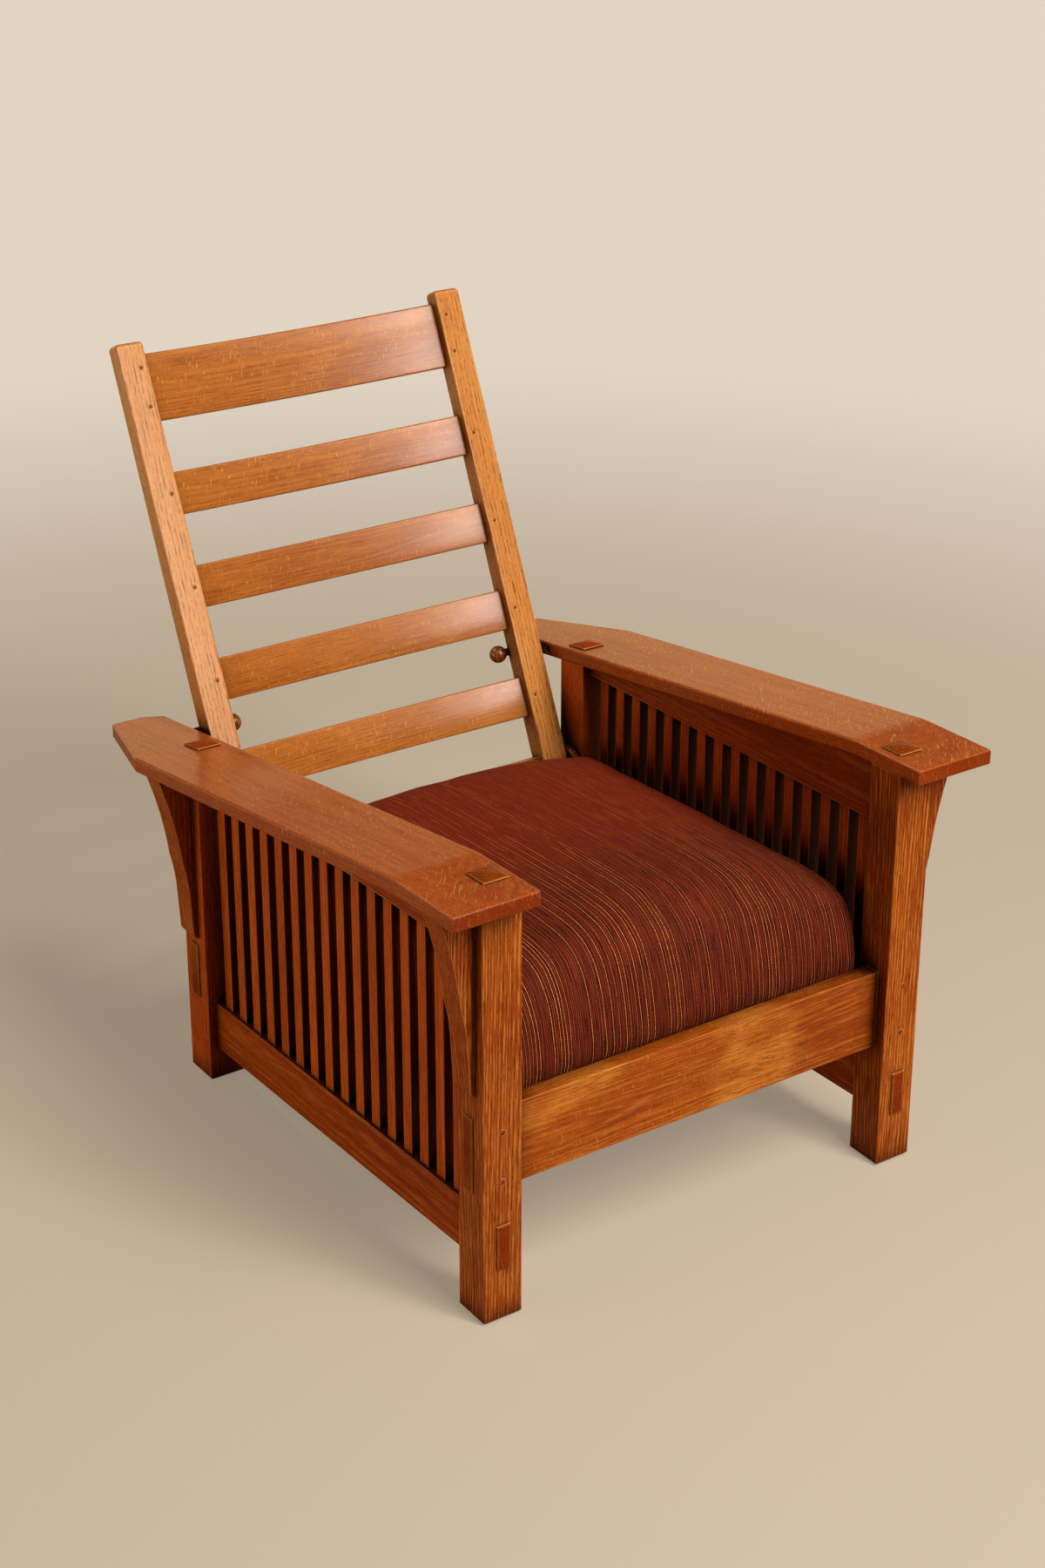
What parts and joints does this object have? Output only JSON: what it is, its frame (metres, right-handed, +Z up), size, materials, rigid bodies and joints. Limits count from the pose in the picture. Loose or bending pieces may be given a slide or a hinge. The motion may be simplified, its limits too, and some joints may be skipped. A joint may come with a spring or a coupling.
{
  "type": "reclining armchair",
  "caption": "Oak reclining armchair with slatted sides, broad sloping arms on corbels, a hinged slat back resting on ball-headed pins and a loose striped seat cushion.",
  "frame": {"origin": "on the floor, under the centre of the whole chair seen from above", "axes": "+Z up, the sitter faces -Y, +X to the sitter's left"},
  "size_m": [0.855, 1.095, 0.9983],
  "materials": {
    "oak_frame": "glossy amber-brown stained oak",
    "oak_arms": "glossy red-brown stained oak",
    "oak_back": "glossy amber oak",
    "oak_turned": "glossy dark brown turned oak and end grain",
    "inner_wood": "plain planed hardwood",
    "seat_fabric": "woven maroon with thin broken gold stripes",
    "steel": "plain steel"
  },
  "bodies": {
    "frame": {"apron_left": "oak_frame", "apron_right": "oak_frame", "arm_left": "oak_arms", "arm_right": "oak_arms", "cleat_screws": "steel", "front_cleat": "inner_wood", "front_corbel_left": "oak_frame", "front_corbel_right": "oak_frame", "front_leg_left": "oak_frame", "front_leg_right": "oak_frame", "front_rail": "oak_frame", "front_rail_pegs": "oak_turned", "hinge_spacer_left": "oak_frame", "hinge_spacer_right": "oak_frame", "lower_side_rail_left": "oak_frame", "lower_side_rail_right": "oak_frame", "rear_cleat": "inner_wood", "rear_corbel_left": "oak_frame", "rear_corbel_right": "oak_frame", "rear_leg_left": "oak_frame", "rear_leg_right": "oak_frame", "rear_rail": "oak_frame", "rear_rail_pegs": "oak_turned", "seat_frame_front": "inner_wood", "seat_frame_left": "inner_wood", "seat_frame_rear": "inner_wood", "seat_frame_right": "inner_wood", "seat_slat_screws": "steel", "seat_slats": "inner_wood", "spindles_left": "oak_frame", "spindles_right": "oak_frame"},
    "back": {"back_bottom_rail": "oak_back", "back_pegs": "oak_turned", "back_slat_fourth": "oak_back", "back_slat_lowest": "oak_back", "back_slat_second": "oak_back", "back_slat_third": "oak_back", "back_slat_top": "oak_back", "back_stile_left": "oak_back", "back_stile_right": "oak_back", "hinge_pin_left": "steel", "hinge_pin_right": "steel"},
    "adjusting_pin_left": {"adjusting_pin_left": "oak_turned"},
    "adjusting_pin_right": {"adjusting_pin_right": "oak_turned"},
    "seat_cushion": {"seat_cushion": "seat_fabric"}
  },
  "joints": [
    {"name": "back_recline", "type": "hinge", "parent": "frame", "child": "back", "pos_m": [0, 0.20627, 0.31694], "axis": [1, 0, 0], "range_deg": [0, 22]},
    {"name": "adjusting_pin_left_slide", "type": "slide", "parent": "frame", "child": "adjusting_pin_left", "axis": [-1, 0, 0], "range_m": [0, 0.06]},
    {"name": "adjusting_pin_right_slide", "type": "slide", "parent": "frame", "child": "adjusting_pin_right", "axis": [1, 0, 0], "range_m": [0, 0.06]},
    {"name": "seat_cushion_lift", "type": "slide", "parent": "frame", "child": "seat_cushion", "axis": [0, 0.0732, 0.9973], "range_m": [0, 0.12]}
  ]
}
